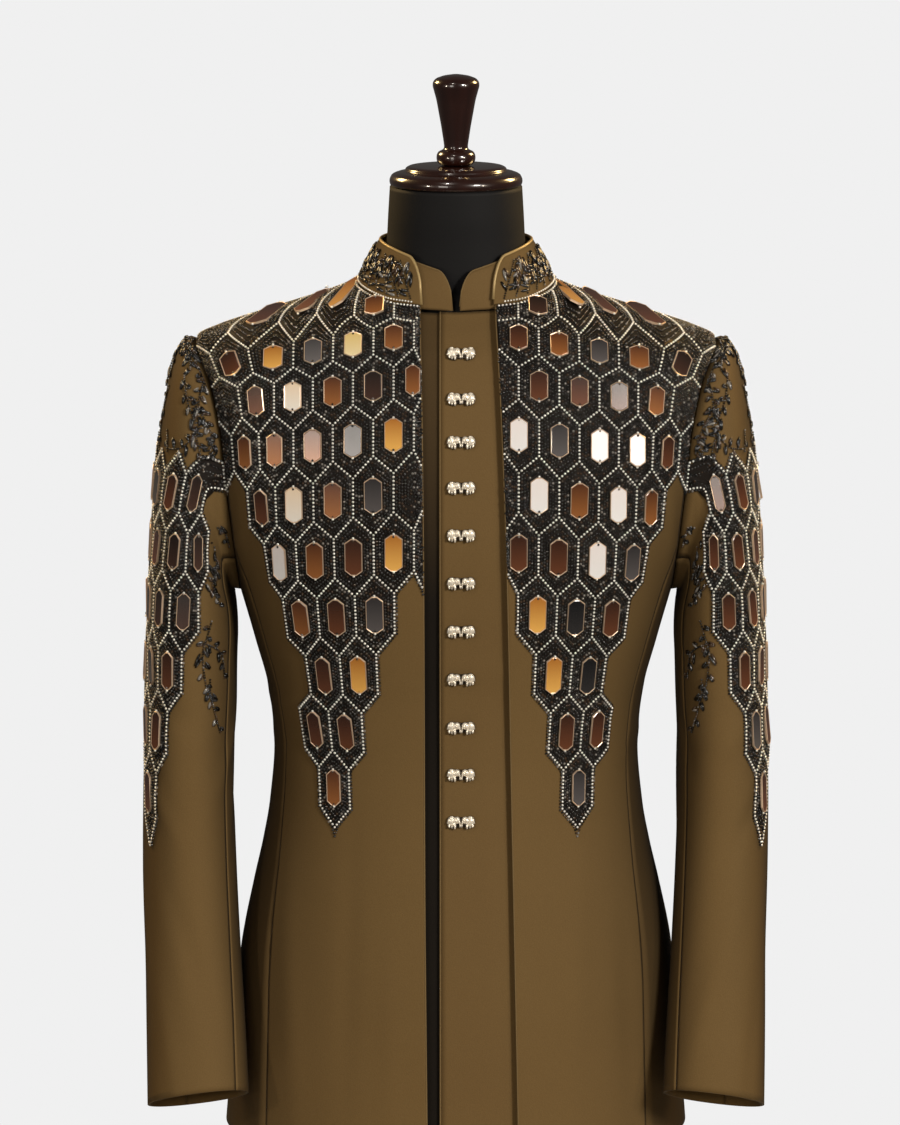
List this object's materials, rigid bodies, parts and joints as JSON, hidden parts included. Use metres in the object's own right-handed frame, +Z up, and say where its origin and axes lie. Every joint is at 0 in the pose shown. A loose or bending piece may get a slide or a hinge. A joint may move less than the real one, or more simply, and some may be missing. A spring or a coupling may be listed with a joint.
{
  "type": "bandhgala suit on a dress form",
  "caption": "Long bronze jacket with honeycomb mirror work, open over a buttoned inner garment, on a black limbless dress form.",
  "frame": {"origin": "centre of the underside of the round base", "axes": "+Z up, -Y out of the garment's front, -X to the wearer's right"},
  "size_m": [0.552, 0.3, 1.1442],
  "materials": {
    "jacket_cloth": "fine napped weave, bronze brown",
    "inner_cloth": "fine napped weave, bronze brown",
    "form_jersey": "matt jersey",
    "dark_wood": "gloss lacquer",
    "stand_metal": "satin black",
    "button_metal": "cast and antiqued"
  },
  "bodies": {
    "root": {"jacket_front_r": "jacket_cloth", "jacket_side_r": "jacket_cloth", "jacket_back_r": "jacket_cloth", "sleeve_top_r": "jacket_cloth", "sleeve_under_r": "jacket_cloth", "inner_collar_r": "inner_cloth", "inner_back_r": "inner_cloth", "jacket_front_l": "jacket_cloth", "jacket_side_l": "jacket_cloth", "jacket_back_l": "jacket_cloth", "sleeve_top_l": "jacket_cloth", "sleeve_under_l": "jacket_cloth", "inner_collar_l": "inner_cloth", "inner_back_l": "inner_cloth", "jacket_collar": "jacket_cloth", "inner_front_over": "inner_cloth", "inner_front_under": "inner_cloth", "form_torso": "form_jersey", "form_cap": "dark_wood", "form_finial": "dark_wood", "stand_pole": "stand_metal", "stand_base": "dark_wood", "button_01": "button_metal", "button_02": "button_metal", "button_03": "button_metal", "button_04": "button_metal", "button_05": "button_metal", "button_06": "button_metal", "button_07": "button_metal", "button_08": "button_metal", "button_09": "button_metal", "button_10": "button_metal", "button_11": "button_metal"}
  },
  "joints": []
}
